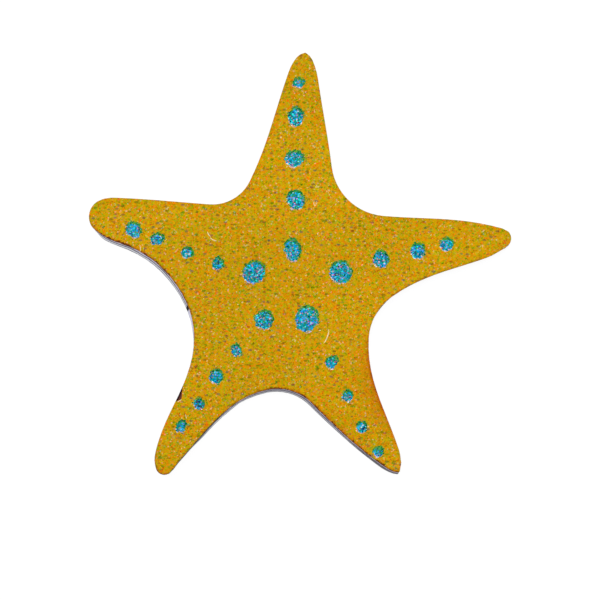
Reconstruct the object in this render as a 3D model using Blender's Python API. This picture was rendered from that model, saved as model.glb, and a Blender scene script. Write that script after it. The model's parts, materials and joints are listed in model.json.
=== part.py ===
"""A starfish charm: one flat plate of cut metal with a printed top face.

The plate lies on its flat back. +Z is up, +Y runs towards the top arm's end, and the origin
is the middle of the plate's underside. Sizes below are in millimetres, the model in metres.
"""

from typing import NamedTuple

import bmesh
import bpy
from math import cos, radians, sin
from mathutils import Vector
from mathutils.geometry import interpolate_bezier

MM = 0.001

# Driving dimensions. The star is 12 mm wide, 12.04 mm high and 1 mm thick in all.
PLATE_THICKNESS = 0.94
PLATE_CHAMFER = 0.012
PRINT_THICKNESS = 0.04
PRINT_MARGIN = 0.012
SPOT_THICKNESS = 0.02

ARC_STEP_DEGREES = 6
FLANK_STEP = 0.3
FLANK_FULLNESS = 0.36
SPOT_SIDES = 20


class Round(NamedTuple):
    """A round stretch of the outline: the point in its middle, its radius, the way it faces and how far
    it turns to each side of that."""

    x: float
    y: float
    radius: float
    facing: float
    half_turn: float


class Spot(NamedTuple):
    """A printed spot: its middle, its diameter, and how much longer it is along the turned way."""

    x: float
    y: float
    diameter: float
    stretch: float = 1.0
    turn: float = 0.0


# The end of each arm is a shoulder, a tip and another shoulder. All this runs anticlockwise.
ARM_ENDS = {
    "top": (
        Round(0.46, 5.54, 2.08, 16, 8),
        Round(0.16, 6.02, 0.05, 81, 23),
        Round(-0.22, 5.69, 1.38, 151, 10),
    ),
    "left": (
        Round(-5.32, 1.87, 1.25, 91, 3),
        Round(-5.98, 1.45, 0.52, 166, 43),
        Round(-5.49, 0.73, 1.82, 242, 12),
    ),
    "lower_left": (
        Round(-4.13, -5.50, 1.38, 173, 5),
        Round(-3.97, -5.99, 0.25, 244, 55),
        Round(-3.44, -5.62, 0.09, 315, 3),
    ),
    "lower_right": (
        Round(2.50, -5.85, 1.06, 239, 3),
        Round(2.80, -5.93, 0.05, 303, 36),
        Round(2.81, -5.35, 1.42, 375, 3),
    ),
    "right": (
        Round(5.45, 0.24, 1.87, 296, 7),
        Round(6.00, 0.76, 0.28, 366, 39),
        Round(5.50, 1.08, 0.83, 434, 3),
    ),
}

# The hollow that follows each of those arms.
NOTCHES = {
    "top": Round(-1.90, 1.84, 1.18, 120, 34),
    "left": Round(-3.05, -1.69, 2.61, 190, 26),
    "lower_left": Round(-0.25, -3.62, 1.35, 253, 28),
    "lower_right": Round(2.14, -1.46, 1.57, 331, 25),
    "right": Round(1.38, 1.81, 1.60, 406, 39),
}

# The spots of each arm run from its end inwards.
SPOTS = {
    "top_arm": [
        Spot(-0.036, 5.150, 0.28, 1.28, 172),
        Spot(-0.117, 4.180, 0.46, 1.15, 86),
        Spot(-0.156, 2.981, 0.47, 1.15, 175),
        Spot(-0.114, 1.811, 0.5, 1.13, 100),
    ],
    "left_arm": [
        Spot(-4.729, 0.943, 0.41, 1.18, 134),
        Spot(-4.067, 0.676, 0.33, 1.22, 13),
        Spot(-3.214, 0.294, 0.33),
        Spot(-2.330, -0.014, 0.32, 1.12, 88),
    ],
    "lower_left_arm": [
        Spot(-3.390, -4.650, 0.3, 1.18, 71),
        Spot(-2.886, -4.004, 0.31, 1.12, 106),
        Spot(-2.389, -3.234, 0.38, 1.12, 96),
        Spot(-1.820, -2.483, 0.31, 1.2, 110),
    ],
    "lower_right_arm": [
        Spot(2.209, -5.371, 0.3, 1.06, 18),
        Spot(1.739, -4.661, 0.3, 1.04, 70),
        Spot(1.339, -3.786, 0.31, 1.08, 92),
        Spot(0.893, -2.814, 0.34, 1.17, 34),
    ],
    "right_arm": [
        Spot(4.157, 0.551, 0.345, 1.14, 5),
        Spot(3.344, 0.356, 0.43, 1.08, 106),
        Spot(2.287, 0.127, 0.45, 1.14, 100),
    ],
    "centre": [
        Spot(-0.221, 0.389, 0.46, 1.42, 103),
        Spot(-1.317, -0.270, 0.625, 1.09, 68),
        Spot(-1.041, -1.614, 0.54, 1.02, 20),
        Spot(0.181, -1.590, 0.67, 1.1, 84),
        Spot(1.154, -0.259, 0.625, 1.05, 126),
    ],
}

# Name, colour, roughness and metallic value of each finish.
FINISHES = {
    "steel": ((0.38, 0.38, 0.40, 1.0), 0.35, 1.0),
    "mustard_ink": ((0.58, 0.31, 0.005, 1.0), 0.55, 0.0),
    "blue_ink": ((0.06, 0.29, 0.31, 1.0), 0.50, 0.0),
}


def remove_everything() -> None:
    """Empties the scene."""
    for thing in list(bpy.data.objects):
        bpy.data.objects.remove(thing, do_unlink=True)


def make_finish(name: str) -> bpy.types.Material:
    """Makes the Principled material of that name."""
    colour, roughness, metallic = FINISHES[name]
    finish = bpy.data.materials.new(name)
    finish.use_nodes = True
    shader = finish.node_tree.nodes["Principled BSDF"]
    shader.inputs["Base Color"].default_value = colour
    shader.inputs["Roughness"].default_value = roughness
    shader.inputs["Metallic"].default_value = metallic
    return finish


def facing(degrees: float) -> Vector:
    """The unit vector that points that way, anticlockwise from +X."""
    return Vector((cos(radians(degrees)), sin(radians(degrees)), 0.0))


def along(degrees: float) -> Vector:
    """The way the outline runs, anticlockwise round the plate, where its edge faces that way."""
    return facing(degrees + 90)


def bend(stretch: Round, side: int) -> list[Vector]:
    """The points of a round stretch, anticlockwise. The side is 1 where it bulges, -1 in a hollow."""
    steps = max(2, round(2 * stretch.half_turn / ARC_STEP_DEGREES))
    radius = side * stretch.radius
    middle = Vector((stretch.x, stretch.y, 0.0)) - radius * facing(stretch.facing)
    turns = [side * (2 * step / steps - 1) * stretch.half_turn for step in range(steps + 1)]
    return [middle + radius * facing(stretch.facing + turn) for turn in turns]


def flank(start: Vector, start_faces: float, end: Vector, end_faces: float) -> list[Vector]:
    """The points between two round stretches, on a curve that leaves and meets them smoothly."""
    length = (end - start).length
    reach = FLANK_FULLNESS * length
    steps = max(2, round(length / FLANK_STEP))
    leaving, arriving = start + reach * along(start_faces), end - reach * along(end_faces)
    return interpolate_bezier(start, leaving, arriving, end, steps + 1)[1:-1]


def star_outline() -> list[Vector]:
    """The plate's whole outline in millimetres, anticlockwise."""
    stretches = []
    for arm, ends in ARM_ENDS.items():
        stretches += [(end, 1) for end in ends] + [(NOTCHES[arm], -1)]
    points = []
    for (this, side), (following, next_side) in zip(stretches, stretches[1:] + stretches[:1]):
        run, next_run = bend(this, side), bend(following, next_side)
        leaves = this.facing + side * this.half_turn
        meets = following.facing - next_side * following.half_turn
        points += run + flank(run[-1], leaves, next_run[0], meets)
    return points


def inset(outline: list[Vector], margin: float) -> list[Vector]:
    """The outline moved inwards all round by the margin."""
    moved = []
    for before, point, after in zip(outline[-1:] + outline[:-1], outline, outline[1:] + outline[:1]):
        run = (after - before).normalized()
        moved.append(point + margin * Vector((-run.y, run.x, 0.0)))
    return moved


def add_prism(
    name: str, outline: list[Vector], bottom: float, height: float, finish: str
) -> bpy.types.Object:
    """Stands a flat shape of that height on the level of bottom, all in millimetres."""
    shape = bmesh.new()
    rim = [shape.verts.new((point.x * MM, point.y * MM, bottom * MM)) for point in outline]
    base = shape.faces.new(rim)
    raised = bmesh.ops.extrude_face_region(shape, geom=[base])["geom"]
    lifted = [item for item in raised if isinstance(item, bmesh.types.BMVert)]
    bmesh.ops.translate(shape, verts=lifted, vec=(0.0, 0.0, height * MM))
    bmesh.ops.recalc_face_normals(shape, faces=shape.faces)
    mesh = bpy.data.meshes.new(name)
    shape.to_mesh(mesh)
    shape.free()
    mesh.materials.append(bpy.data.materials[finish])
    piece = bpy.data.objects.new(name, mesh)
    bpy.context.scene.collection.objects.link(piece)
    return piece


def add_plate(outline: list[Vector]) -> None:
    """The metal plate, its top and bottom edges broken by a small chamfer."""
    plate = add_prism("base_plate", outline, 0.0, PLATE_THICKNESS, "steel")
    chamfer = plate.modifiers.new("edge_chamfer", "BEVEL")
    chamfer.width = PLATE_CHAMFER * MM
    chamfer.segments = 1
    chamfer.limit_method = "ANGLE"
    chamfer.angle_limit = radians(60)


def spot_outline(spot: Spot) -> list[Vector]:
    """The spot's oval: its diameter one way, and the stretched diameter along its turn."""
    middle = Vector((spot.x, spot.y, 0.0))
    long_way, short_way = facing(spot.turn), facing(spot.turn + 90)
    short = spot.diameter / 2
    long = short * spot.stretch
    turns = [360 * side / SPOT_SIDES for side in range(SPOT_SIDES)]
    return [middle + long * cos(radians(t)) * long_way + short * sin(radians(t)) * short_way for t in turns]


def add_spots(level: float) -> None:
    """Every blue spot, as a thin raised dot of ink on the printed ground."""
    for place, spots in SPOTS.items():
        for number, spot in enumerate(spots, start=1):
            name = f"spot_{place}_{number}"
            add_prism(name, spot_outline(spot), level, SPOT_THICKNESS, "blue_ink")


def main() -> None:
    """Builds the charm."""
    remove_everything()
    for name in FINISHES:
        make_finish(name)
    outline = star_outline()
    add_plate(outline)
    add_prism("print_ground", inset(outline, PRINT_MARGIN), PLATE_THICKNESS, PRINT_THICKNESS, "mustard_ink")
    add_spots(PLATE_THICKNESS + PRINT_THICKNESS)


main()
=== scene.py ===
"""Looks of the printed starfish charm: its cut steel plate, its printed ground and its blue spots."""

import json
import logging
import math
from contextlib import contextmanager
from dataclasses import dataclass
from enum import Enum
from typing import Any, Callable, Iterator, NamedTuple

import bmesh
import bpy
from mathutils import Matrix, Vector, kdtree, noise

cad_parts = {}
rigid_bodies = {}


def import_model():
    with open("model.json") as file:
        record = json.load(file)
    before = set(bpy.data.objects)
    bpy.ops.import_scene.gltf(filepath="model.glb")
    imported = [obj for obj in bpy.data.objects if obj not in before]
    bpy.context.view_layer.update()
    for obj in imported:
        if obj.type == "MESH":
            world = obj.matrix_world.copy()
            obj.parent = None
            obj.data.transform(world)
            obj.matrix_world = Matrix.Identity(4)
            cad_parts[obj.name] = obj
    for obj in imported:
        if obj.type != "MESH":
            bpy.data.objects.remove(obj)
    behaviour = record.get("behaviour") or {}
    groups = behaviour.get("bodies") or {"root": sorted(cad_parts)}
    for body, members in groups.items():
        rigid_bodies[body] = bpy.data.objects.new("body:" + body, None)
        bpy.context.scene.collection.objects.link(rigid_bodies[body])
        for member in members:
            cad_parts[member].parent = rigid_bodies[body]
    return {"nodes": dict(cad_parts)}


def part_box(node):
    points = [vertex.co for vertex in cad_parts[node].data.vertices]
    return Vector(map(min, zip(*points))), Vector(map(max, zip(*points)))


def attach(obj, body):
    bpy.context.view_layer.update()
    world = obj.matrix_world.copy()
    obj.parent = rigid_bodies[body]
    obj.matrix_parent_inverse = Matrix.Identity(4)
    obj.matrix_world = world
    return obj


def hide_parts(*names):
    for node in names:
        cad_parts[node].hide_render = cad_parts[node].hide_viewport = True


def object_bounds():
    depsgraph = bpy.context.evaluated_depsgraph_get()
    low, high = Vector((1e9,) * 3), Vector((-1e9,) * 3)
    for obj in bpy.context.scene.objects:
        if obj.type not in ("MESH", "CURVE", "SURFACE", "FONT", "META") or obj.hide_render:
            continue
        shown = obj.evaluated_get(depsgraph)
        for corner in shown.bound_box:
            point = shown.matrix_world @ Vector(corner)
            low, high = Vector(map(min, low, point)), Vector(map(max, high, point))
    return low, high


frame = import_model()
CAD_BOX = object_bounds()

MM = 0.001
# Points closer than this are one, in metres.
MERGE = 1e-7
# Heights closer than this are the same, in metres.
SAME_HEIGHT = 1e-6
# A face whose normal has a Z part past this lies level.
LEVEL = 0.999
LOG = logging.getLogger("charm")

Colour = tuple[float, float, float]
Stops = list[tuple[float, Colour]]


def srgb(red: int, green: int, blue: int) -> Colour:
    """Turns a colour as a screen shows it, 0 to 255, into the linear colour that a shader takes.

    Args:
        red: The red part.
        green: The green part.
        blue: The blue part.

    Returns:
        The linear colour, 0 to 1.
    """

    def linear(part: int) -> float:
        """One part of the colour."""
        share = part / 255
        return share / 12.92 if share <= 0.04045 else ((share + 0.055) / 1.055) ** 2.4

    return linear(red), linear(green), linear(blue)


# ---------------------------------------------------------------------------------------------
# Shader building
# ---------------------------------------------------------------------------------------------


class Value:
    """A number or vector on its way through a shader, which Python sums can use."""

    def __init__(self, graph: "Graph", socket: bpy.types.NodeSocket) -> None:
        """Wraps an output socket of the graph."""
        self.graph = graph
        self.socket = socket

    def _sum(self, operation: str, first: Any, second: Any) -> "Value":
        """Adds the Math node for one operation on two numbers."""
        node = self.graph.node("ShaderNodeMath", {"operation": operation}, {0: first, 1: second})
        return node["Value"]

    def __add__(self, other: Any) -> "Value":
        """This plus the other."""
        return self._sum("ADD", self, other)

    __radd__ = __add__

    def __sub__(self, other: Any) -> "Value":
        """This less the other."""
        return self._sum("SUBTRACT", self, other)

    def __rsub__(self, other: Any) -> "Value":
        """The other less this."""
        return self._sum("SUBTRACT", other, self)

    def __mul__(self, other: Any) -> "Value":
        """This times the other."""
        return self._sum("MULTIPLY", self, other)

    __rmul__ = __mul__

    def __truediv__(self, other: Any) -> "Value":
        """This over the other."""
        return self._sum("DIVIDE", self, other)

    def __lt__(self, other: Any) -> "Value":
        """1 where this is less than the other, else 0."""
        return self._sum("LESS_THAN", self, other)

    def sine(self) -> "Value":
        """The sine of this, in radians."""
        return self.graph.node("ShaderNodeMath", {"operation": "SINE"}, {0: self})["Value"]

    def between(self, low: float, high: float) -> "Value":
        """This number, 0 to 1, spread from low to high."""
        return self * (high - low) + low

    def step(self, low: float, high: float, first: float = 0.0, last: float = 1.0) -> "Value":
        """Rises smoothly from first, where this is at low, to last, where it is at high."""
        sockets = {"Value": self, "From Min": low, "From Max": high, "To Min": first, "To Max": last}
        return self.graph.node("ShaderNodeMapRange", {"interpolation_type": "SMOOTHSTEP"}, sockets)["Result"]

    def _with(self, operation: str, other: tuple[float, float, float]) -> "Made":
        """Adds the Vector Math node for one operation on this vector and another."""
        return self.graph.node("ShaderNodeVectorMath", {"operation": operation}, {0: self, 1: other})

    def scaled(self, x: float, y: float, z: float) -> "Value":
        """This vector with each part multiplied."""
        return self._with("MULTIPLY", (x, y, z))["Vector"]

    def moved(self, x: float, y: float, z: float) -> "Value":
        """This vector with each part added to."""
        return self._with("ADD", (x, y, z))["Vector"]

    def far(self, x: float, y: float, z: float) -> "Value":
        """How far this vector is from a place."""
        return self._with("DISTANCE", (x, y, z))["Value"]

    def parts(self) -> tuple["Value", "Value", "Value"]:
        """The three parts of this vector."""
        node = self.graph.node("ShaderNodeSeparateXYZ", {}, {0: self})
        return node["X"], node["Y"], node["Z"]


class Made:
    """A node just added, whose outputs are read by name."""

    def __init__(self, graph: "Graph", node: bpy.types.Node) -> None:
        """Wraps the node."""
        self.graph = graph
        self.node = node

    def __getitem__(self, name: str) -> Value:
        """The output of that name that is in use."""
        live = [out for out in self.node.outputs if out.name == name and out.enabled]
        return Value(self.graph, live[0])


class Graph:
    """The node tree of one material."""

    def __init__(self, name: str) -> None:
        """Makes an empty material of that name."""
        self.material = bpy.data.materials.new(name)
        self.material.use_nodes = True
        self.tree = self.material.node_tree
        self.tree.nodes.clear()

    def node(self, kind: str, settings: dict[str, Any], sockets: dict[Any, Any]) -> Made:
        """Adds a node.

        Args:
            kind: The node's type.
            settings: Its settings, set first; "stops" holds a ramp's places and colours.
            sockets: Values or links for its inputs, by name or number.

        Returns:
            The node, ready to be read.
        """
        node = self.tree.nodes.new(kind)
        for name, setting in settings.items():
            if name == "stops":
                self._set_stops(node.color_ramp, setting)
            else:
                setattr(node, name, setting)
        for name, value in sockets.items():
            self._feed(self._input(node, name), value)
        return Made(self, node)

    @staticmethod
    def _set_stops(ramp: bpy.types.ColorRamp, stops: Stops) -> None:
        """Gives a ramp its stops."""
        while len(ramp.elements) < len(stops):
            ramp.elements.new(0.5)
        for element, (place, colour) in zip(ramp.elements, stops):
            element.position = place
            element.color = (*colour, 1.0)

    @staticmethod
    def _input(node: bpy.types.Node, name: Any) -> bpy.types.NodeSocket:
        """The input of that name that is in use, or of that number."""
        if isinstance(name, int):
            return node.inputs[name]
        return [socket for socket in node.inputs if socket.name == name and socket.enabled][0]

    def _feed(self, socket: bpy.types.NodeSocket, value: Any) -> None:
        """Links a value to a socket, or sets the socket to a plain number or colour."""
        if isinstance(value, Value):
            self.tree.links.new(value.socket, socket)
        elif socket.type == "RGBA":
            socket.default_value = (*value, 1.0)
        else:
            socket.default_value = value

    def place(self) -> Value:
        """Where a point is on the charm, in millimetres."""
        where = self.node("ShaderNodeTexCoord", {}, {})["Object"]
        return where.scaled(1 / MM, 1 / MM, 1 / MM)

    def ramp(self, factor: Value, stops: Stops) -> Value:
        """The colour that a ramp gives for the factor."""
        return self.node("ShaderNodeValToRGB", {"stops": stops}, {"Fac": factor})["Color"]

    def mix(self, factor: Any, first: Any, second: Any, blend: str = "MIX") -> Value:
        """Blends the first colour towards the second by the factor."""
        settings = {"data_type": "RGBA", "blend_type": blend}
        sockets = {"Factor": factor, "A": first, "B": second}
        return self.node("ShaderNodeMix", settings, sockets)["Result"]

    def grain(self, place: Value, scale: float, detail: float, rough: float) -> Value:
        """Soft noise from 0 to 1, with that many humps to a millimetre."""
        sockets = {"Vector": place, "Scale": scale, "Detail": detail, "Roughness": rough}
        return self.node("ShaderNodeTexNoise", {}, sockets)["Fac"]

    def cells(self, place: Value, scale: float, shift: float = 0.0) -> tuple[Value, Value]:
        """Flat cells, that many to a millimetre: the distance from a cell's middle, and its own colour."""
        settings = {"voronoi_dimensions": "2D", "feature": "F1"}
        sockets = {"Vector": place.moved(shift, shift, 0.0), "Scale": scale}
        node = self.node("ShaderNodeTexVoronoi", settings, sockets)
        return node["Distance"], node["Color"]

    def shaded(self, colour: Value, shade: Value) -> Value:
        """The colour, made lighter or darker by a number."""
        settings = {"operation": "SCALE"}
        return self.node("ShaderNodeVectorMath", settings, {0: colour, "Scale": shade})["Vector"]

    def attribute(self, name: str) -> Value:
        """The vector that the mesh keeps under that name."""
        return self.node("ShaderNodeAttribute", {"attribute_name": name}, {})["Vector"]

    def bump(self, height: Value, depth: float, strength: float) -> Value:
        """The normal of a surface with that relief, depth millimetres high."""
        sockets = {"Height": height, "Distance": depth * MM, "Strength": strength}
        return self.node("ShaderNodeBump", {}, sockets)["Normal"]

    def surface(self, sockets: dict[str, Any]) -> bpy.types.Material:
        """Ends the material in a Principled shader with those inputs."""
        shader = self.node("ShaderNodeBsdfPrincipled", {}, sockets)
        self.node("ShaderNodeOutputMaterial", {}, {"Surface": shader["BSDF"]})
        return self.material


# ---------------------------------------------------------------------------------------------
# Finishes
# ---------------------------------------------------------------------------------------------


class Palette(Enum):
    """The inks that the printed dots take, and the painted sheen over them: colours, each at its place on a
    scale from 0 to 1.
    """

    GROUND = (
        (0.00, srgb(92, 142, 0)),
        (0.10, srgb(154, 159, 0)),
        (0.26, srgb(186, 161, 0)),
        (0.48, srgb(198, 152, 0)),
        (0.70, srgb(208, 143, 0)),
        (0.90, srgb(219, 128, 0)),
        (1.00, srgb(240, 92, 0)),
    )
    # Painted sheen: a faint grey-blue added on scattered cells, in place of the light that the satin ink
    # reflects.
    VEIL = (
        (0.00, srgb(0, 0, 0)),
        (0.62, srgb(0, 0, 0)),
        (0.82, srgb(4, 8, 16)),
        (0.95, srgb(20, 28, 44)),
        (1.00, srgb(104, 108, 124)),
    )
    SPECK = (
        (0.00, srgb(40, 128, 0)),
        (0.30, srgb(84, 104, 0)),
        (0.52, srgb(108, 84, 20)),
        (0.76, srgb(76, 86, 84)),
        (1.00, srgb(148, 56, 10)),
    )
    SPOT = (
        (0.00, srgb(0, 32, 56)),
        (0.10, srgb(0, 86, 146)),
        (0.26, srgb(0, 158, 86)),
        (0.44, srgb(0, 110, 152)),
        (0.62, srgb(0, 164, 158)),
        (0.84, srgb(0, 138, 236)),
        (1.00, srgb(44, 234, 222)),
    )
    RED = (
        (0.00, srgb(0, 0, 0)),
        (0.46, srgb(0, 0, 0)),
        (0.76, srgb(56, 0, 0)),
        (0.92, srgb(124, 0, 0)),
        (1.00, srgb(212, 40, 44)),
    )
    OVERLAP = (
        (0.00, srgb(8, 84, 44)),
        (0.35, srgb(26, 132, 64)),
        (0.75, srgb(104, 158, 30)),
        (1.00, srgb(8, 138, 124)),
    )
    BARE = (
        (0.00, srgb(208, 130, 20)),
        (0.35, srgb(206, 150, 60)),
        (0.60, srgb(216, 164, 150)),
        (0.82, srgb(206, 200, 226)),
        (1.00, srgb(244, 238, 246)),
    )

    @property
    def stops(self) -> Stops:
        """The stops of the palette's ramp."""
        return list(self.value)


class HeatBand(NamedTuple):
    """A band that heat leaves along the print's edge: how ragged, how far it is full, its end and look."""

    ragged: float
    full: float
    gone: float
    strength: float
    tone: Colour

    def at(self, far: Value, chance: Value) -> Value:
        """How strong the band is that far from the edge, in millimetres."""
        return (far + chance * self.ragged).step(self.full, self.gone, self.strength, 0.0)


@dataclass(frozen=True)
class PrintFinish:
    """Ink-jet print: yellow ink all over under fine scattered dots, dark specks and faint passes, with a
    painted sheen added to its colour.

    A layer's scale draws its cells out across or up, and its shift keeps them off the other layers' cells.
    """

    dots_per_mm: float = 25.0
    dot_scale: tuple[float, float] = (0.92, 1.0)
    fine_per_mm: float = 30.0
    fine_shift: float = 0.37
    fine_depth: float = 0.36
    fine_skew: float = 0.3
    patches_per_mm: float = 13.0
    patch_scale: tuple[float, float] = (1.0, 0.7)
    patch_shift: float = 0.23
    patch_share: float = 0.24
    cloud_per_mm: float = 5.0
    cloud_depth: float = 0.10
    drift_per_mm: float = 0.45
    drift_depth: float = 0.13
    fade_up: float = 0.005
    fade_across: float = 0.002
    lightness: float = 1.04
    specks_per_mm: float = 8.0
    speck_scale: tuple[float, float] = (0.6, 1.0)
    speck_shift: float = 0.81
    speck_share: float = 0.76
    speck_radius: float = 0.041
    speck_core: float = 0.5
    speck_sizes: tuple[float, float] = (0.5, 1.1)
    speck_strengths: tuple[float, float] = (0.12, 0.67)
    pass_width: float = 0.19
    pass_depth: float = 0.05
    ragged: float = 0.055
    orange: HeatBand = HeatBand(0.12, 0.10, 0.75, 0.42, srgb(196, 100, 0))
    amber: HeatBand = HeatBand(0.02, 0.02, 0.13, 0.85, srgb(186, 88, 0))
    brown: HeatBand = HeatBand(0.02, 0.015, 0.09, 0.8, srgb(172, 92, 6))
    char: HeatBand = HeatBand(0.03, 0.012, 0.036, 0.9, srgb(84, 32, 14))
    char_tongues_per_mm: float = 4.0
    char_tongue: tuple[float, float] = (0.025, -0.04)
    scorch_char: float = 0.35
    roughness: tuple[float, float] = (0.43, 0.58)
    gloss: float = 0.01
    relief: float = 0.003
    relief_strength: float = 0.5

    def material(self, name: str, spotted: bool) -> bpy.types.Material:
        """Makes the print.

        Args:
            name: The material's name.
            spotted: True on a spot, whose mesh says how far each point is from its plates' rims.

        Returns:
            The material.
        """
        graph = Graph(name)
        place = graph.place()
        distance, chances = graph.cells(place.scaled(*self.dot_scale, 0.0), self.dots_per_mm)
        pick, chance, fade = chances.parts()
        _, others = graph.cells(place, self.fine_per_mm, self.fine_shift)
        shade, sheen_chance, red = others.parts()
        _, patches = graph.cells(place.scaled(*self.patch_scale, 0.0), self.patches_per_mm, self.patch_shift)
        patch, _, _ = patches.parts()
        colour = graph.ramp(pick * (1.0 - self.patch_share) + patch * self.patch_share, Palette.GROUND.stops)
        colour = self._with_specks(graph, place, colour)
        # Adds the painted sheen.
        colour = graph.mix(1.0, colour, graph.ramp(sheen_chance, Palette.VEIL.stops), "ADD")
        if spotted:
            colour = self._with_spot(graph, colour, pick, chance, fade, red)
        colour = graph.shaded(colour, self._shade(graph, place, shade))
        if not spotted:
            colour = self._with_edge(graph, place, colour, chance)
        return graph.surface(
            {
                "Base Color": colour,
                "Roughness": fade.between(*self.roughness),
                "Specular IOR Level": self.gloss,
                "Normal": graph.bump(distance, self.relief, self.relief_strength),
            }
        )

    def _shade(self, graph: Graph, place: Value, fine: Value) -> Value:
        """How light the ink is: dot by dot, in clouds, across the plate and in the head's upright passes."""
        across, up, _ = place.parts()
        wave = (across * (2 * math.pi / self.pass_width)).sine()
        cloud = graph.grain(place, self.cloud_per_mm, detail=2.0, rough=0.6)
        drift = graph.grain(place, self.drift_per_mm, detail=1.0, rough=0.5)
        swing = fine.between(-1.0, 1.0)
        light = swing * swing * (swing - self.fine_skew) * self.fine_depth
        light = light + (cloud - 0.5) * (2 * self.cloud_depth) + (drift - 0.5) * (2 * self.drift_depth)
        light = light + up * self.fade_up - across * self.fade_across
        return light + wave * (self.pass_depth / 2) + self.lightness

    def _with_specks(self, graph: Graph, place: Value, colour: Value) -> Value:
        """Adds the larger dark specks of cyan and black, a little longer across than up."""
        stretched = place.scaled(*self.speck_scale, 0.0)
        distance, chances = graph.cells(stretched, self.specks_per_mm, self.speck_shift)
        chance, tone, depth = chances.parts()
        away = distance / self.specks_per_mm / depth.between(*self.speck_sizes)
        near = away.step(self.speck_radius * self.speck_core, self.speck_radius, 1.0, 0.0)
        share = near * (chance < self.speck_share) * depth.between(*self.speck_strengths)
        return graph.mix(share, colour, graph.ramp(tone, Palette.SPECK.stops))

    def _with_spot(
        self, graph: Graph, ground: Value, pick: Value, chance: Value, fade: Value, red: Value
    ) -> Value:
        """Lays the spot over the ground, its blue plate a little out of register with the yellow one.

        Args:
            graph: The material's graph.
            ground: The ground's colour.
            pick: A random number for each dot, which picks its ink.
            chance: Another, for the blue plate's ragged rim.
            fade: Another, for the yellow plate's ragged rim.
            red: Another, for the magenta ink in the blue.

        Returns:
            The colour.
        """
        blue_rim, bare_rim, _ = graph.attribute("plate_rims").parts()
        blue = chance < (0.5 - blue_rim / self.ragged)
        bare = fade < (0.5 - bare_rim / self.ragged)
        cyan = graph.mix(1.0, graph.ramp(pick, Palette.SPOT.stops), graph.ramp(red, Palette.RED.stops), "ADD")
        beside = graph.mix(blue, ground, graph.ramp(pick, Palette.OVERLAP.stops))
        within = graph.mix(blue, graph.ramp(pick, Palette.BARE.stops), cyan)
        return graph.mix(bare, beside, within)

    def _with_edge(self, graph: Graph, place: Value, colour: Value, chance: Value) -> Value:
        """Browns the ink along the cut edge, and scorches it orange where the laser heated it more."""
        far, brown, scorch = graph.attribute("edge").parts()
        for band, heat in ((self.orange, scorch), (self.amber, scorch), (self.brown, brown)):
            colour = graph.mix(band.at(far, chance) * heat, colour, band.tone)
        tongues = graph.grain(place, self.char_tongues_per_mm, detail=3.0, rough=0.7)
        charred = self.char.at(far + tongues.step(0.35, 0.65, *self.char_tongue), chance)
        return graph.mix(charred * (brown + scorch * self.scorch_char), colour, self.char.tone)


class WallPatch(NamedTuple):
    """A round patch of tone on the cut side, used for stains and for a painted highlight: its place, how far
    it is full, where it ends, its strength and tone.
    """

    x: float
    y: float
    full: float
    gone: float
    strength: float
    tone: Colour

    def at(self, flat: Value) -> Value:
        """How strong the patch is at a place, whatever its height."""
        return flat.far(self.x, self.y, 0.0).step(self.full, self.gone, self.strength, 0.0)


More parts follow.
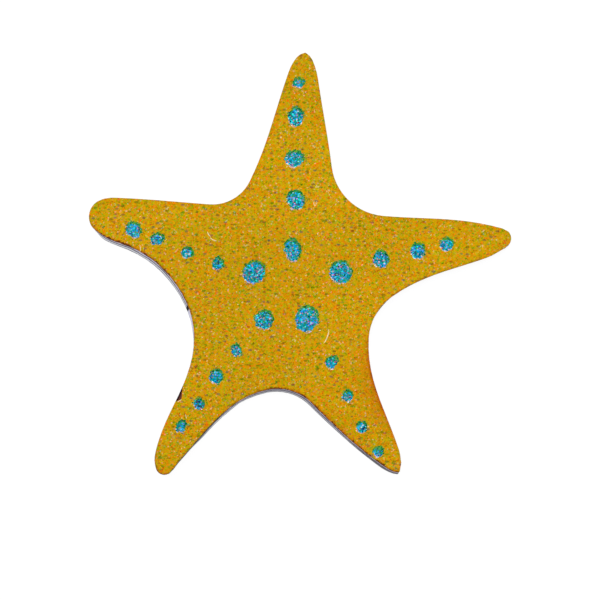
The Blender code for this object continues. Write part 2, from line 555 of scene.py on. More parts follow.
@dataclass(frozen=True)
class CutSteelFinish:
    """Laser-cut stainless steel: a silver wall with a dark line along it, charred and sooty near the face,
    with painted shade away from the left arm and a painted highlight below the nick.

    Places and heights are in millimetres, and a level runs from 0 at the back to 1 at the plate's top.
    """

    top: float
    ledge: float
    burn: tuple[float, float]
    burn_radius: float
    burn_core: float = 0.6
    burn_height: float = 0.86
    burn_fade: float = 0.1
    burn_tone: Colour = srgb(6, 2, 4)
    side_starts: tuple[float, float] = (0.004, 0.02)
    face_starts: tuple[float, float] = (0.985, 0.998)
    # Painted highlight: a pale patch on the wall below the nick, where the light from the left falls.
    painted_highlight: WallPatch = WallPatch(-3.08, -1.60, 0.15, 0.6, 0.85, srgb(224, 224, 246))
    # A darker patch over the lower half of the wall at the lower right arm's end.
    darker_foot: WallPatch = WallPatch(2.60, -5.80, 0.8, 2.0, 0.75, srgb(62, 56, 66))
    sooty: WallPatch = WallPatch(-3.20, -5.70, 0.3, 1.6, 0.8, srgb(44, 34, 38))
    soot_tone: Colour = srgb(30, 16, 16)
    soot_per_mm: float = 3.0
    soot_reach: tuple[float, float] = (1.2, 2.6)
    soot_more: float = 0.25
    soot_lower: float = 0.18
    # Painted shade: the wall is darkened away from the left arm, where less light falls; its tone, its slant
    # and where it starts.
    painted_shade_tone: Colour = srgb(150, 144, 148)
    painted_shade_slant: float = 0.35
    painted_shade_starts: tuple[float, float] = (-4.2, -2.2)
    wave_depth: float = 0.5
    waves_per_mm: float = 1.4
    streak_depth: float = 0.08
    streaks_per_mm: float = 14.0
    streak_scale: float = 0.10
    streak_tone: Colour = srgb(206, 206, 212)
    chip: tuple[float, float] = (-3.52, -3.89)
    chip_way: float = 66.0
    chip_tones_per_mm: float = 5.0
    chip_mottle: float = 0.4
    grain_per_mm: float = 16.0
    sheet_way: float = 12.0
    sheet_scale: float = 0.05
    sheet_shift: tuple[float, float, float] = (3.3, 7.1, 0.43)
    wall_shine: float = 0.15
    roughness: tuple[float, float] = (0.32, 0.52)
    relief: float = 0.006
    relief_strength: float = 0.6

    def material(self, name: str) -> bpy.types.Material:
        """Makes the steel."""
        graph = Graph(name)
        place = graph.place()
        flat = place.scaled(1.0, 1.0, 0.0)
        _, _, height = place.parts()
        share = height / self.top
        upright = place.scaled(1.0, 1.0, self.streak_scale)
        streaks = graph.grain(upright, self.streaks_per_mm, detail=3.0, rough=0.6)
        level = self._level(graph, flat, share, streaks)
        # Painted shade away from the left arm, and a darker foot at the lower right arm's end.
        wall = self._with_painted_shade(graph, flat, level, graph.ramp(level, self._bands()))
        wall = self._sooted(graph, flat, share, wall)
        # Lays the painted highlight below the nick.
        wall = graph.mix(self.painted_highlight.at(flat), wall, self.painted_highlight.tone)
        wall = graph.mix(streaks.step(0.45, 0.8, 0.0, 0.3), wall, self.streak_tone)
        wall = graph.mix(share.step(*self.face_starts), wall, self._chipped(graph, place))
        sanding = graph.grain(self._along_the_sheet(graph, place), self.grain_per_mm, detail=6.0, rough=0.7)
        back = graph.ramp(sanding, [(0.3, srgb(150, 150, 152)), (0.7, srgb(188, 188, 190))])
        on_side = height.step(*self.side_starts)
        colour = self._burnt(graph, flat, height, graph.mix(on_side, back, wall))
        shine = height.step(*self.side_starts, 1.0, self.wall_shine) * level.step(0.5, 0.66, 1.0, 0.0)
        return graph.surface(
            {
                "Base Color": colour,
                "Metallic": shine,
                "Specular IOR Level": 0.0,
                "Roughness": streaks.between(*self.roughness),
                "Normal": graph.bump(graph.mix(on_side, sanding, streaks), self.relief, self.relief_strength),
            }
        )

    def _level(self, graph: Graph, flat: Value, share: Value, streaks: Value) -> Value:
        """Where on the wall's scale of tones a point is: its share of the height, in streaks and waves."""
        waves = graph.grain(flat, self.waves_per_mm, detail=2.0, rough=0.5)
        middle = share * (1.0 - share) * 4.0
        return share + (streaks - 0.5) * self.streak_depth + (waves - 0.5) * middle * self.wave_depth

    def _with_painted_shade(self, graph: Graph, flat: Value, level: Value, wall: Value) -> Value:
        """Paints shade on the wall away from the left arm, where less light falls, and darkens its lower half
        at the lower right arm's end.
        """
        across, up, _ = flat.parts()
        # Painted shade: darker away from the left arm, a little more of it on the wall's lower part.
        painted_shade = (across + up * self.painted_shade_slant).step(*self.painted_shade_starts, 0.0, 0.75)
        wall = graph.mix(painted_shade * level.step(0.55, 0.75, 0.6, 0.4), wall, self.painted_shade_tone, "MULTIPLY")
        return graph.mix(self.darker_foot.at(flat) * level.step(0.50, 0.62, 1.0, 0.0), wall, self.darker_foot.tone)

    def _sooted(self, graph: Graph, flat: Value, share: Value, wall: Value) -> Value:
        """Lays soot on the wall under the face, more of it and lower down by the lower left arm's end."""
        clear = flat.far(self.sooty.x, self.sooty.y, 0.0).step(*self.soot_reach)
        thick = graph.grain(flat, self.soot_per_mm, detail=3.0, rough=0.65)
        thick = thick - clear * self.soot_more + self.soot_more
        high = share - clear * self.soot_lower + self.soot_lower
        wall = graph.mix(thick.step(0.42, 0.60) * high.step(0.72, 0.82), wall, self.soot_tone)
        return graph.mix(self.sooty.at(flat), wall, self.sooty.tone)

    def _burnt(self, graph: Graph, flat: Value, height: Value, colour: Value) -> Value:
        """Blackens the nick that the laser burnt, up to just under the face."""
        burn = WallPatch(*self.burn, self.burn_radius * self.burn_core, self.burn_radius, 1.0, self.burn_tone)
        low = height.step(self.burn_height - self.burn_fade, self.burn_height, 1.0, 0.0)
        return graph.mix(burn.at(flat) * low, colour, burn.tone)

    def _along_the_sheet(self, graph: Graph, place: Value) -> Value:
        """The place, turned and drawn out along the way that the sheet was rolled and sanded."""
        settings = {"rotation_type": "Z_AXIS"}
        sockets = {"Vector": place, "Angle": math.radians(self.sheet_way)}
        turned = graph.node("ShaderNodeVectorRotate", settings, sockets)["Vector"]
        return turned.moved(*self.sheet_shift).scaled(self.sheet_scale, 1.0, 1.0)

    def _chipped(self, graph: Graph, place: Value) -> Value:
        """The bared face in the chip: burnt black along the plate's edge, purple-brown further in."""
        way = math.radians(self.chip_way)
        across, up, _ = place.parts()
        inside = (across - self.chip[0]) * math.sin(way) - (up - self.chip[1]) * math.cos(way)
        mottle = graph.grain(place, self.grain_per_mm, detail=2.0, rough=0.6)
        return graph.ramp(inside * self.chip_tones_per_mm + (mottle - 0.5) * self.chip_mottle, self._bared())

    @staticmethod
    def _bared() -> Stops:
        """The bared face's tones, from the plate's edge inwards."""
        return [
            (0.00, srgb(30, 8, 4)),
            (0.16, srgb(44, 16, 12)),
            (0.32, srgb(96, 56, 52)),
            (0.75, srgb(122, 76, 74)),
        ]

    def _bands(self) -> Stops:
        """The wall's tones from the back up to the face."""
        ledge = self.ledge / self.top
        return [
            (0.00, srgb(76, 72, 78)),
            (0.08, srgb(140, 138, 146)),
            (0.18, srgb(220, 222, 232)),
            (ledge - 0.18, srgb(222, 224, 234)),
            (ledge - 0.06, srgb(92, 88, 96)),
            (ledge + 0.02, srgb(84, 80, 90)),
            (ledge + 0.11, srgb(210, 204, 222)),
            (0.81, srgb(222, 212, 232)),
            (0.88, srgb(130, 104, 106)),
            (0.96, srgb(54, 32, 26)),
        ]


@dataclass(frozen=True)
class PlainFinish:
    """One tone with a little grain, for small marks and for the floor."""

    tone: Colour
    vary: float
    per_mm: float
    roughness: float = 0.6
    gloss: float = 0.1
    glow: float = 0.0

    def material(self, name: str) -> bpy.types.Material:
        """Makes the finish."""
        graph = Graph(name)
        cloud = graph.grain(graph.place(), self.per_mm, detail=2.0, rough=0.5)
        dim = tuple(part * (1 - self.vary) for part in self.tone)
        sockets = {
            "Base Color": graph.ramp(cloud, [(0.35, dim), (0.65, self.tone)]),
            "Roughness": self.roughness,
            "Specular IOR Level": self.gloss,
            "Emission Color": (1.0, 1.0, 1.0),
            "Emission Strength": self.glow,
        }
        return graph.surface(sockets)


# ---------------------------------------------------------------------------------------------
# Modelling helpers
# ---------------------------------------------------------------------------------------------


def pick_only(piece: bpy.types.Object) -> None:
    """Makes the piece the only one selected, and active."""
    for other in bpy.data.objects:
        other.select_set(False)
    piece.select_set(True)
    bpy.context.view_layer.objects.active = piece


@contextmanager
def editing(piece: bpy.types.Object, mode: str = "FACE") -> Iterator[None]:
    """Opens the piece in edit mode with everything selected, and closes it again."""
    pick_only(piece)
    bpy.ops.object.mode_set(mode="EDIT")
    bpy.ops.mesh.select_mode(type=mode)
    bpy.ops.mesh.select_all(action="SELECT")
    yield
    bpy.ops.object.mode_set(mode="OBJECT")


def select_faces(piece: bpy.types.Object, test: Callable[[bmesh.types.BMFace], bool]) -> None:
    """Selects, in edit mode, just the faces that pass the test."""
    bpy.ops.mesh.select_all(action="DESELECT")
    shape = bmesh.from_edit_mesh(piece.data)
    for face in shape.faces:
        face.select_set(test(face))
    bmesh.update_edit_mesh(piece.data)


def looks_up(face: bmesh.types.BMFace) -> bool:
    """True for a face that looks straight up."""
    return face.normal.z > LEVEL


def outline_of(node: str, name: str, level: float) -> bpy.types.Object:
    """Starts a piece from the outline that a CAD node has at a level, as one flat face.

    Args:
        node: The CAD node.
        name: The new piece's name.
        level: The height of the outline, in millimetres.

    Returns:
        The piece, one face that looks up.
    """
    piece = bpy.data.objects.new(name, frame["nodes"][node].data.copy())
    bpy.context.scene.collection.objects.link(piece)
    piece.data.materials.clear()
    with editing(piece, "EDGE"):
        bpy.ops.mesh.remove_doubles(threshold=MERGE)
        bpy.ops.mesh.select_all(action="DESELECT")
        shape = bmesh.from_edit_mesh(piece.data)
        for edge in shape.edges:
            level_edge = all(abs(vert.co.z - level * MM) < SAME_HEIGHT for vert in edge.verts)
            on_wall = any(abs(face.normal.z) < LEVEL for face in edge.link_faces)
            edge.select_set(not (level_edge and on_wall))
        bmesh.update_edit_mesh(piece.data)
        bpy.ops.mesh.delete(type="EDGE")
        bpy.ops.mesh.select_all(action="SELECT")
        bpy.ops.mesh.edge_face_add()
        shape = bmesh.from_edit_mesh(piece.data)
        shape.normal_update()
        if any(face.normal.z < 0 for face in shape.faces):
            bpy.ops.mesh.flip_normals()
    return piece


def split_long(piece: bpy.types.Object, longest: float) -> None:
    """Halves the piece's edges until none is longer than that, in millimetres."""
    with editing(piece, "EDGE"):
        while True:
            shape = bmesh.from_edit_mesh(piece.data)
            long = [edge.calc_length() > longest * MM for edge in shape.edges]
            if not any(long):
                break
            for edge, halved in zip(shape.edges, long):
                edge.select_set(halved)
            bmesh.update_edit_mesh(piece.data)
            bpy.ops.mesh.subdivide(number_cuts=1)


def face_outwards() -> None:
    """Turns every face of the piece that is open in edit mode outwards."""
    bpy.ops.mesh.select_all(action="SELECT")
    bpy.ops.mesh.normals_make_consistent(inside=False)


def lift(height: float) -> None:
    """Extrudes the selected face upwards, in millimetres."""
    bpy.ops.mesh.extrude_region_move(TRANSFORM_OT_translate={"value": (0.0, 0.0, height * MM)})


def round_rim(radius: float, steps: int) -> None:
    """Rounds the rim of the selected face, which ends up further out and smaller.

    Args:
        radius: The radius of the rounding, in millimetres.
        steps: How many facets it has.
    """
    turns = [math.radians(90 * step / steps) for step in range(steps + 1)]
    for before, after in zip(turns, turns[1:]):
        inwards = radius * (math.cos(before) - math.cos(after))
        outwards = radius * (math.sin(after) - math.sin(before))
        bpy.ops.mesh.inset(thickness=inwards * MM, depth=outwards * MM)


def cut_grid(spacing: float) -> None:
    """Cuts the selected flat face into squares, in millimetres, along lines that follow X and Y."""
    bpy.ops.mesh.hide(unselected=True)
    lo, hi = CAD_BOX
    for axis, way in ((0, (1.0, 0.0, 0.0)), (1, (0.0, 1.0, 0.0))):
        for number in range(1, int((hi[axis] - lo[axis]) / (spacing * MM)) + 1):
            at = lo[axis] + number * spacing * MM
            bpy.ops.mesh.select_all(action="SELECT")
            bpy.ops.mesh.bisect(plane_co=tuple(at * part for part in way), plane_no=way, threshold=MERGE)
    bpy.ops.mesh.reveal(select=False)


def cut_away(piece: bpy.types.Object, cutter: bpy.types.Object) -> None:
    """Takes the cutter's shape out of the piece, and removes the cutter."""
    cut = piece.modifiers.new("cut", "BOOLEAN")
    cut.operation = "DIFFERENCE"
    cut.solver = "EXACT"
    cut.object = cutter
    pick_only(piece)
    bpy.ops.object.modifier_apply(modifier=cut.name)
    bpy.data.objects.remove(cutter, do_unlink=True)


def keep_on_mesh(piece: bpy.types.Object, name: str, rows: list[tuple[float, float, float]]) -> None:
    """Keeps three numbers for each point of the piece's mesh, for its material to read."""
    kept = piece.data.attributes.new(name, "FLOAT_VECTOR", "POINT")
    kept.data.foreach_set("vector", [part for row in rows for part in row])


def shade_smooth(piece: bpy.types.Object, degrees: float) -> None:
    """Shades the piece smooth, but for the edges that turn more than that."""
    pick_only(piece)
    bpy.ops.object.shade_smooth_by_angle(angle=math.radians(degrees))


def soft_noise(place: Vector) -> float:
    """Soft noise from 0 to 1 at a place."""
    return 0.5 + 0.5 * noise.noise(place)


def stray(place: Vector, width: float, apart: float) -> Vector:
    """Soft noise from -1 to 1 in X and in Y, the same at every height.

    Args:
        place: The place.
        width: How wide its humps are, in millimetres.
        apart: How many humps apart the noise for X and the noise for Y are taken.

    Returns:
        The two numbers.
    """
    flat = Vector((place.x, place.y, 0.0)) / (width * MM)
    return Vector((noise.noise(flat), noise.noise(flat + Vector((apart, 0.0, 0.0)))))


def finish_piece(piece: bpy.types.Object, material: bpy.types.Material, nodes: list[str]) -> None:
    """Dresses a piece and ties it to the frame.

    Args:
        piece: The piece.
        material: What it is made of.
        nodes: The CAD nodes that it stands for.
    """
    piece.data.materials.clear()
    piece.data.materials.append(material)
    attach(piece, "root")
    if nodes:
        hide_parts(*nodes)
    LOG.info("%s: %d faces", piece.name, len(piece.data.polygons))


# ---------------------------------------------------------------------------------------------
# The charm's pieces
# ---------------------------------------------------------------------------------------------


class Heat(NamedTuple):
    """What the laser's heat did to the print near a point of its edge."""

    far: float
    brown: float
    scorch: float


@dataclass
class Outline:
    """The charm's outline: where its points are, which way the side faces there and how hot it got."""

    node: str = "base_plate"
    level: float = 0.012
    spacing: float = 0.03
    hot_way: float = 246.0
    least_brown: float = 0.12
    scorched: tuple[float, float] = (2.15, -3.55)
    scorch_reach: float = 1.9
    scorch_strength: float = 1.45
    spared: tuple[float, float] = (4.4, -0.1)
    spared_reach: float = 2.6
    spared_brown: float = 0.35

    def __post_init__(self) -> None:
        """Indexes the outline's points and the ways that it faces."""
        face = outline_of(self.node, "outline", self.level)
        split_long(face, self.spacing)
        corners = [vert.co.copy() for vert in face.data.vertices]
        loop = [corners[number] for number in face.data.polygons[0].vertices]
        bpy.data.objects.remove(face, do_unlink=True)
        self.tree = kdtree.KDTree(len(loop))
        self.ways = []
        for number, corner in enumerate(loop):
            run = loop[(number + 1) % len(loop)] - loop[number - 1]
            self.ways.append(Vector((run.y, -run.x, 0.0)).normalized())
            self.tree.insert((corner.x, corner.y, 0.0), number)
        self.tree.balance()

    @property
    def hot(self) -> Vector:
        """The way that the side faces where the laser browned it most."""
        return Vector((math.cos(math.radians(self.hot_way)), math.sin(math.radians(self.hot_way)), 0.0))

    def faces(self, place: Vector) -> Vector:
        """The way that the side faces at the point of the outline nearest to a place."""
        _, number, _ = self.tree.find((place.x, place.y, 0.0))
        return self.ways[number]

    def heat(self, place: Vector) -> Heat:
        """What the laser's heat did at a place on the print.

        Args:
            place: The place.

        Returns:
            How far the edge is in millimetres, how brown it is there and how scorched, both 0 to 1.
        """
        _, number, far = self.tree.find((place.x, place.y, 0.0))
        facing = max(0.0, self.ways[number].dot(self.hot))
        brown = self.least_brown + (1 - self.least_brown) * facing ** 2
        aside = (place.xy / MM - Vector(self.spared)).length / self.spared_reach
        brown *= min(1.0, self.spared_brown + aside)
        aside = (place.xy / MM - Vector(self.scorched)).length / self.scorch_reach
        return Heat(far / MM, brown, min(1.0, max(0.0, self.scorch_strength * (1 - aside))))


class Lean(NamedTuple):
    """A stretch where the side leans: its two ends, its reach and how far its foot is set in or out."""

    x: float
    y: float
    end_x: float
    end_y: float
    reach: float
    depth: float

    def at(self, place: Vector) -> float:
        """How far the foot of the side is set in or out at a place, in millimetres."""
        start, end, spot = Vector((self.x, self.y)), Vector((self.end_x, self.end_y)), place.xy / MM
        run = end - start
        along = max(0.0, min(1.0, (spot - start).dot(run) / run.length_squared))
        near = max(0.0, 1 - (spot - start - run * along).length / self.reach)
        return self.depth * near * near * (3 - 2 * near)


@dataclass
class Plate:
    """The steel plate: a flat star with softened rims and the ribs that the laser leaves on its side."""

    outline: Outline
    node: str = "base_plate"
    rim: float = 0.012
    rim_steps: int = 3
    rows: int = 14
    column: float = 0.035
    rib_width: float = 0.07
    rib_depth: float = 0.010
    rib_upright: float = 0.15
    rib_least: float = 0.3
    ledge: float = 0.50
    ledge_depth: float = 0.006
    burn: tuple[float, float] = (-3.165, -1.225)
    burn_radius: float = 0.080
    burn_reach: float = 1.6
    burn_depth: float = 0.005
    grid: float = 0.5
    lean_gain: float = 1.6
    smooth_below: float = 40.0
    undercuts: tuple[Lean, ...] = (
        Lean(5.8, 0.4, 2.6, -1.0, 0.6, 0.098),
        Lean(-5.95, 1.45, -5.88, 1.13, 0.55, 0.098),
        Lean(-4.1, -5.6, -3.85, -5.95, 0.55, 0.098),
        Lean(-3.0, -2.3, -3.0, -2.6, 0.5, 0.07),
        Lean(1.4, -4.9, 1.9, -5.3, 0.7, 0.008),
        Lean(2.74, -5.9, 2.6, -5.9, 0.35, 0.022),
    )
    flares: tuple[Lean, ...] = (
        Lean(-4.7, 0.40, -3.3, -1.0, 0.8, 0.024),
        Lean(-1.3, -3.7, 0.5, -4.05, 0.8, 0.013),
        Lean(-2.7, -4.75, -2.1, -4.15, 0.7, 0.040),
    )

    def build(self) -> bpy.types.Object:
        """Makes the plate.

        Returns:
            The plate, dressed and tied to the frame.
        """
        lo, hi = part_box(self.node)
        low, high = lo.z / MM + self.rim, hi.z / MM - self.rim
        plate = outline_of(self.node, "plate", low)
        split_long(plate, self.column)
        with editing(plate):
            for _ in range(self.rows):
                lift((high - low) / self.rows)
            round_rim(self.rim, self.rim_steps)
            face_outwards()
            select_faces(plate, lambda face: face.normal.z < -LEVEL and len(face.verts) > 4)
            round_rim(self.rim, self.rim_steps)
        self._work_the_side(plate, low * MM, high * MM)
        with editing(plate):
            select_faces(plate, lambda face: len(face.verts) > 4)
            cut_grid(self.grid)
        shade_smooth(plate, self.smooth_below)
        finish = CutSteelFinish(hi.z / MM, self.ledge, self.burn, self.burn_radius)
        finish_piece(plate, finish.material("cut_steel"), [self.node])
        return plate

    def _work_the_side(self, plate: bpy.types.Object, low: float, high: float) -> None:
        """Presses the laser's ribs, the ledge half-way up, the burnt nick and the lean into the side."""
        for vert in plate.data.vertices:
            if vert.co.z > high + MERGE:
                continue
            way = self.outline.faces(vert.co)
            down = min(1.0, (high - vert.co.z) / (high - low))
            depth = self.ledge_depth if vert.co.z > self.ledge * MM else 0.0
            if vert.co.z > low - MERGE:
                where = Vector((vert.co.x, vert.co.y, vert.co.z * self.rib_upright)) / (self.rib_width * MM)
                share = self.rib_least + (1 - self.rib_least) * down
                depth += self.rib_depth * share * soft_noise(where)
            aside = (vert.co.xy / MM - Vector(self.burn)).length / (self.burn_reach * self.burn_radius)
            depth += self.burn_depth * max(0.0, 1 - aside * aside) * down
            depth -= max(flare.at(vert.co) for flare in self.flares) * down
            lean = max(undercut.at(vert.co) for undercut in self.undercuts)
            lean *= down * max(0.0, min(1.0, self.lean_gain * way.dot(self.outline.hot)))
            vert.co -= (way * depth + self.outline.hot * lean) * MM


@dataclass
class PrintedGround:
    """The mustard ink over the plate's face: a thin skin with a soft rim, a little relief and one chip."""

    outline: Outline
    node: str = "print_ground"
    under: str = "base_plate"
    rim: float = 0.008
    overhang: float = 0.012
    spacing: float = 0.1
    relief: float = 0.002
    relief_scale: float = 0.12
    chip_low: tuple[float, float] = (-3.70, -4.02)
    chip_high: tuple[float, float] = (-3.325, -3.42)
    chip_narrowing: float = 0.05
    chip_slope: float = 0.40
    chip_ragged: float = 0.012
    chip_ragged_width: float = 0.05
    chip_ragged_apart: float = 9.0
    chip_cuts: int = 4
    chip_past: float = 0.1
    rim_steps: int = 2
    smooth_below: float = 35.0

    def build(self) -> bpy.types.Object:
        """Makes the printed ground.

        Returns:
            The ground, dressed and tied to the frame.
        """
        lo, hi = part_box(self.node)
        bottom, top = lo.z / MM - self.overhang, hi.z / MM
        ground = outline_of(self.under, "print_ground_skin", bottom)
        split_long(ground, self.spacing)
        with editing(ground):
            lift(top - bottom - self.rim)
            face_outwards()
        cut_away(ground, self._chip(bottom, top))
        with editing(ground):
            select_faces(ground, looks_up)
            round_rim(self.rim, self.rim_steps)
            cut_grid(self.spacing)
            select_faces(ground, looks_up)
            bpy.ops.mesh.subdivide(number_cuts=1)
            bpy.ops.mesh.select_all(action="SELECT")
            bpy.ops.mesh.remove_doubles(threshold=MERGE)
        self._press_relief(ground, hi.z)
        keep_on_mesh(ground, "edge", [self.outline.heat(vert.co) for vert in ground.data.vertices])
        shade_smooth(ground, self.smooth_below)
        finish_piece(ground, PrintFinish().material("mustard_print", False), [self.node])
        return ground

    def _chip(self, bottom: float, top: float) -> bpy.types.Object:
        """The ragged block that the chip at the edge takes out of the ink."""
        bpy.ops.mesh.primitive_cube_add(size=1.0, location=(0, 0, 0))
        block = bpy.context.active_object
        low = Vector((*self.chip_low, bottom - self.chip_past))
        high = Vector((*self.chip_high, top + self.chip_past))
        with editing(block):
            bpy.ops.transform.resize(value=tuple((high - low) * MM), center_override=(0, 0, 0))
            bpy.ops.transform.translate(value=tuple((low + high) / 2 * MM))
            bpy.ops.mesh.subdivide(number_cuts=self.chip_cuts)
        for vert in block.data.vertices:
            ragged = self.chip_ragged * stray(vert.co, self.chip_ragged_width, self.chip_ragged_apart) * MM
            down = (high.y * MM - vert.co.y) / (high.y - low.y) / MM
            vert.co.y += self.chip_slope * (vert.co.x - low.x * MM) * down
            vert.co.x -= self.chip_narrowing * MM * down
            vert.co.xy += ragged
        return block

    def _press_relief(self, ground: bpy.types.Object, top: float) -> None:
        """Presses the ink's faint unevenness into its top."""
        for vert in ground.data.vertices:
            if vert.co.z > top - MERGE:
                vert.co.z -= self.relief * MM * soft_noise(vert.co / (self.relief_scale * MM))


@dataclass
class PrintedSpots:
    """The blue spots: a low dot of ink each, its blue plate a little up and to the right of its bare one."""

    shift: tuple[float, float] = (0.018, 0.052)
    margin: float = 0.06
    rings: int = 6
    core: float = 1.5
    sides: int = 60
    height: float = 0.012
    rim_height: float = 0.6
    sunk: float = 0.001
    wander: float = 0.035
    wander_width: float = 0.16
    wander_apart: float = 7.7
    blue_grown: float = 0.012
    bare_shrunk: float = 0.019
    dots_per_mm: float = 28.0
    least_radius: float = 0.05
    smooth_below: float = 40.0

    def build(self) -> list[bpy.types.Object]:
        """Makes every spot.

        Returns:
            The spots, dressed and tied to the frame.
        """
        material = PrintFinish(dots_per_mm=self.dots_per_mm).material("spot_print", True)
        return [self._spot(node, material) for node in sorted(frame["nodes"]) if node.startswith("spot_")]

    def _spot(self, node: str, material: bpy.types.Material) -> bpy.types.Object:
        """Makes the spot that stands for one CAD node."""
        lo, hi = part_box(node)
        middle = (lo + hi) / 2
        corners = [vert.co.xy - middle.xy for vert in frame["nodes"][node].data.vertices]
        rim = [corner for corner in corners if corner.length > self.least_radius * MM]
        far, near = max(rim, key=lambda v: v.length), min(rim, key=lambda v: v.length)
        turn, long, short = math.atan2(far.y, far.x), far.length / MM, near.length / MM
        bpy.ops.mesh.primitive_circle_add(vertices=self.sides, radius=MM, fill_type="NGON")
        spot = bpy.context.active_object
        spot.name = node.replace("spot_", "blue_dot_")
        with editing(spot):
            grown = (long + self.margin, short + self.margin)
            bpy.ops.transform.resize(value=(*grown, 1.0), center_override=(0, 0, 0))
            for _ in range(self.rings):
                bpy.ops.mesh.inset(thickness=min(grown) / (self.rings + self.core) * MM, depth=0.0)
            bpy.ops.mesh.poke()
            bpy.ops.mesh.select_all(action="SELECT")
            bpy.ops.transform.rotate(value=-turn, orient_axis="Z", center_override=(0, 0, 0))
            bpy.ops.transform.translate(value=(middle.x, middle.y, lo.z))
        self._shape(spot, middle, turn, long, short)
        shade_smooth(spot, self.smooth_below)
        finish_piece(spot, material, [node])
        return spot

    def _shape(
        self, spot: bpy.types.Object, middle: Vector, turn: float, long: float, short: float
    ) -> None:
        """Domes the spot, and marks how far each point is from its two plates' rims.

        Args:
            spot: The piece.
            middle: Its middle.
            turn: The way that its long axis points, in radians.
            long: Half of its length, in millimetres.
            short: Half of its width, in millimetres.
        """
        rims = []
        for vert in spot.data.vertices:
            strayed = self.wander * stray(vert.co, self.wander_width, self.wander_apart)
            across = (vert.co.xy - middle.xy) / MM + strayed
            blue = self._past(across, 0.5, turn, long, short) - self.blue_grown
            bare = self._past(across, -0.5, turn, long, short) + self.bare_shrunk
            rims.append((blue, bare, 0.0))
            past = self._past(across, 0.0, turn, long, short)
            dome = max(0.0, min(1.0, self.rim_height - past / self.margin))
            vert.co.z += (self.height * dome - self.sunk) * MM
        keep_on_mesh(spot, "plate_rims", rims)

    def _past(self, across: Vector, way: float, turn: float, long: float, short: float) -> float:
        """How far a point is outside the oval, moved that share of the shift, in millimetres."""
        moved = across - Vector(self.shift) * way
        x = moved.x * math.cos(turn) + moved.y * math.sin(turn)
        y = moved.y * math.cos(turn) - moved.x * math.sin(turn)
        return (math.hypot(x / long, y / short) - 1) * math.sqrt(long * short)


class Sliver(NamedTuple):
    """A fine curved mark on the ink: its start, the way it sets off, its length, bend and width."""

    x: float
    y: float
    way: float
    length: float
    bend: float
    width: float


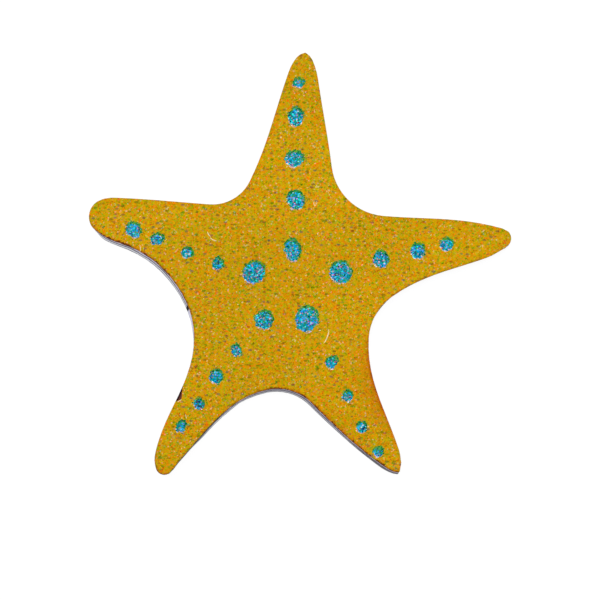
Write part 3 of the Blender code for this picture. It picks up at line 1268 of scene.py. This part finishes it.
@dataclass
class Marks:
    """The fine curved marks on the face: hair-thin slivers of lint, and dark ones that are scratched ink and
    painted shadow beside the lint.
    """

    node: str = "print_ground"
    steps: int = 8
    sides: int = 6
    flatness: float = 0.5
    thinnest: float = 0.25
    smooth_below: float = 50.0
    pale: tuple[Sliver, ...] = (
        Sliver(-2.63, 0.90, -78, 0.17, 40, 0.028),
        Sliver(-2.56, 0.74, -50, 0.22, 45, 0.028),
        Sliver(0.81, -1.875, -92, 0.43, -36, 0.036),
        Sliver(0.53, -1.91, 10, 0.06, 20, 0.026),
        Sliver(0.40, 1.79, -110, 0.17, 60, 0.020),
        Sliver(0.48, 1.80, -90, 0.18, -40, 0.018),
        Sliver(-4.56, 0.52, -60, 0.22, -60, 0.020),
        Sliver(-3.26, -4.30, -84, 0.13, 20, 0.018),
        Sliver(-3.49, -3.945, 24, 0.14, 14, 0.024),
        Sliver(0.50, 0.88, -95, 0.06, 20, 0.030),
    )
    # The dark slivers that lie just beside pale ones are their painted shadows; the others are scratched ink.
    dark: tuple[Sliver, ...] = (
        Sliver(3.10, -0.03, -90, 0.20, 10, 0.018),
        Sliver(0.44, -0.42, -60, 0.20, -80, 0.016),
        Sliver(-4.42, 0.50, -80, 0.20, -30, 0.016),
        Sliver(2.74, 0.36, -70, 0.14, 30, 0.014),
        Sliver(0.75, -1.66, -74, 0.24, -16, 0.014),
        Sliver(-3.29, -4.24, -84, 0.16, 12, 0.016),
    )

    def build(self) -> list[bpy.types.Object]:
        """Makes the marks.

        Returns:
            The pale and the dark ones, each a piece, dressed and tied to the frame.
        """
        lint = PlainFinish(srgb(255, 230, 176), vary=0.24, per_mm=14.0)
        # The dark marks' tone, for scratched ink and for painted shadow beside the lint.
        scratch_and_shadow = PlainFinish(srgb(104, 84, 40), vary=0.25, per_mm=18.0)
        return [self._joined("pale_marks", self.pale, lint), self._joined("dark_marks", self.dark, scratch_and_shadow)]

    def _joined(self, name: str, slivers: tuple[Sliver, ...], finish: PlainFinish) -> bpy.types.Object:
        """Makes one piece of several marks."""
        made = [self._sliver(sliver) for sliver in slivers]
        pick_only(made[0])
        for other in made:
            other.select_set(True)
        bpy.ops.object.join()
        piece = bpy.context.active_object
        piece.name = name
        finish_piece(piece, finish.material(name + "_ink"), [])
        return piece

    def _sliver(self, sliver: Sliver) -> bpy.types.Object:
        """Sweeps a small round section along the mark's arc, tapers its ends and flattens it."""
        way, bend = math.radians(sliver.way), math.radians(sliver.bend)
        radius = sliver.length / abs(bend)
        side = math.copysign(1.0, bend)
        centre = Vector((sliver.x - side * radius * math.sin(way), sliver.y + side * radius * math.cos(way)))
        bpy.ops.mesh.primitive_circle_add(
            vertices=self.sides,
            radius=sliver.width / 2 * MM,
            fill_type="NGON",
            location=(0, 0, 0),
            rotation=(0, 0, 0),
        )
        mark = bpy.context.active_object
        with editing(mark):
            bpy.ops.transform.rotate(value=math.radians(90), orient_axis="X", center_override=(0, 0, 0))
            bpy.ops.transform.rotate(value=math.radians(90) - way, orient_axis="Z", center_override=(0, 0, 0))
            bpy.ops.transform.translate(value=(sliver.x * MM, sliver.y * MM, 0.0))
            middle = (centre.x * MM, centre.y * MM, 0.0)
            bpy.ops.mesh.spin(steps=self.steps, angle=-bend, center=middle, axis=(0.0, 0.0, 1.0))
            face_outwards()
            bpy.ops.transform.resize(value=(1.0, 1.0, self.flatness), center_override=(0, 0, 0))
            bpy.ops.transform.translate(value=(0.0, 0.0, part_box(self.node)[1].z))
        self._taper(mark, centre, radius, way, bend)
        shade_smooth(mark, self.smooth_below)
        return mark

    def _taper(
        self, mark: bpy.types.Object, centre: Vector, radius: float, way: float, bend: float
    ) -> None:
        """Thins the mark towards both of its ends."""
        for vert in mark.data.vertices:
            across = vert.co.xy / MM - centre
            start = way - math.copysign(math.pi / 2, bend)
            turned = (math.atan2(across.y, across.x) - start + math.pi) % (2 * math.pi) - math.pi
            along = max(0.0, min(1.0, turned / bend))
            thin = self.thinnest + (1 - self.thinnest) * math.sin(math.pi * along) ** 0.5
            spine = centre + across.normalized() * radius
            vert.co.x = (spine.x + (vert.co.x / MM - spine.x) * thin) * MM
            vert.co.y = (spine.y + (vert.co.y / MM - spine.y) * thin) * MM


class Lamp(NamedTuple):
    """A broad lamp far off: its name, its strength, how wide it looks in degrees and the way to it."""

    name: str
    strength: float
    spread: float
    way: tuple[float, float, float]


@dataclass
class Studio:
    """A plain pale floor, soft light from above and the camera that looks down from the lower left."""

    outline: Outline
    view_width: float = 17.025
    lens: float = 900.0
    tilt: float = 5.6
    from_way: float = 246.0
    aim: tuple[float, float] = (-0.010, -1.043)
    clip: tuple[float, float] = (0.01, 5.0)
    sky: float = 0.45
    lamps: tuple[Lamp, ...] = (
        Lamp("overhead", 1.30, 20.0, (-0.05, 0.05, 1.0)),
        Lamp("side", 0.60, 35.0, (-0.55, 0.35, 1.0)),
    )
    near_sides: int = 64
    near_radius: float = 12.0
    far_radius: float = 3000.0
    floor_gap: float = 0.005
    opening: float = 0.82
    opening_middle: tuple[float, float] = (-0.4, -0.1)
    floor_grey: float = 0.13
    floor_roughness: float = 0.9
    floor_glow: float = 0.92

    def build(self) -> None:
        """Makes the floor, the light and the camera."""
        floor = self._floor()
        grey = (self.floor_grey, self.floor_grey, self.floor_grey)
        finish = PlainFinish(grey, vary=0.0, per_mm=1.0, roughness=self.floor_roughness, glow=self.floor_glow)
        floor.data.materials.append(finish.material("pale_floor"))
        self._light()
        self._camera()

    def _floor(self) -> bpy.types.Object:
        """Lays the floor just under the charm, open in its middle so that the charm's back can be seen."""
        floor = outline_of(self.outline.node, "floor", self.outline.level)
        middle = (self.opening_middle[0] * MM, self.opening_middle[1] * MM, 0.0)
        with editing(floor, "EDGE"):
            bpy.ops.mesh.delete(type="ONLY_FACE")
            bpy.ops.mesh.select_all(action="SELECT")
            bpy.ops.transform.resize(value=(self.opening, self.opening, 0.0), center_override=middle)
            bpy.ops.mesh.primitive_circle_add(vertices=self.near_sides, radius=self.near_radius * MM)
            bpy.ops.mesh.select_all(action="SELECT")
            bpy.ops.mesh.fill(use_beauty=True)
            bpy.ops.mesh.select_all(action="SELECT")
            bpy.ops.transform.translate(value=(0.0, 0.0, -self.floor_gap * MM))
        self._draw_out(floor)
        return floor

    def _draw_out(self, floor: bpy.types.Object) -> None:
        """Draws the floor's rim out to where it ends."""
        grown = self.far_radius / self.near_radius
        with editing(floor, "EDGE"):
            shape = bmesh.from_edit_mesh(floor.data)
            within = self.near_radius * MM * math.cos(math.pi / self.near_sides)
            for edge in shape.edges:
                far = all(vert.co.xy.length > within for vert in edge.verts)
                edge.select_set(far and edge.is_boundary)
            bmesh.update_edit_mesh(floor.data)
            bpy.ops.mesh.extrude_edges_move()
            bpy.ops.transform.resize(value=(grown, grown, 1.0), center_override=(0, 0, 0))
            face_outwards()
            shape = bmesh.from_edit_mesh(floor.data)
            if sum(face.normal.z for face in shape.faces) < 0:
                bpy.ops.mesh.flip_normals()

    def _light(self) -> None:
        """Lights the charm with a pale sky, a broad lamp overhead and a weaker one at the upper left."""
        world = bpy.data.worlds.new("studio")
        world.use_nodes = True
        sky = world.node_tree.nodes["Background"]
        sky.inputs["Color"].default_value = (1.0, 1.0, 1.0, 1.0)
        sky.inputs["Strength"].default_value = self.sky
        bpy.context.scene.world = world
        for lamp in self.lamps:
            self._hang(lamp)
        bpy.context.scene.view_settings.view_transform = "Standard"

    def _hang(self, lamp: Lamp) -> None:
        """Hangs a lamp."""
        sun = bpy.data.lights.new(lamp.name, "SUN")
        sun.energy = lamp.strength
        sun.angle = math.radians(lamp.spread)
        light = bpy.data.objects.new(lamp.name, sun)
        bpy.context.scene.collection.objects.link(light)
        light.rotation_euler = Vector(lamp.way).to_track_quat("Z", "Y").to_euler()

    def _camera(self) -> None:
        """Places the camera high over the charm, a little towards its lower left."""
        shot = bpy.data.cameras.new("camera")
        shot.lens = self.lens
        shot.clip_start, shot.clip_end = self.clip
        camera = bpy.data.objects.new("camera", shot)
        bpy.context.scene.collection.objects.link(camera)
        lo, hi = CAD_BOX
        aim = Vector(((lo.x + hi.x) / 2 + self.aim[0] * MM, (lo.y + hi.y) / 2 + self.aim[1] * MM, hi.z))
        lean, way = math.radians(self.tilt), math.radians(self.from_way)
        back = Vector((math.sin(lean) * math.cos(way), math.sin(lean) * math.sin(way), math.cos(lean)))
        camera.location = aim + back * (self.view_width * MM * self.lens / shot.sensor_width)
        camera.rotation_euler = Vector((0.0, 0.0, 1.0)).rotation_difference(back).to_euler()
        bpy.context.scene.camera = camera


def main() -> None:
    """Builds the charm's looks, piece by piece, and its studio."""
    logging.basicConfig(level=logging.INFO, format="%(name)s: %(message)s")
    outline = Outline()
    Plate(outline).build()
    PrintedGround(outline).build()
    PrintedSpots().build()
    Marks().build()
    Studio(outline).build()


if __name__ == "__main__":
    main()
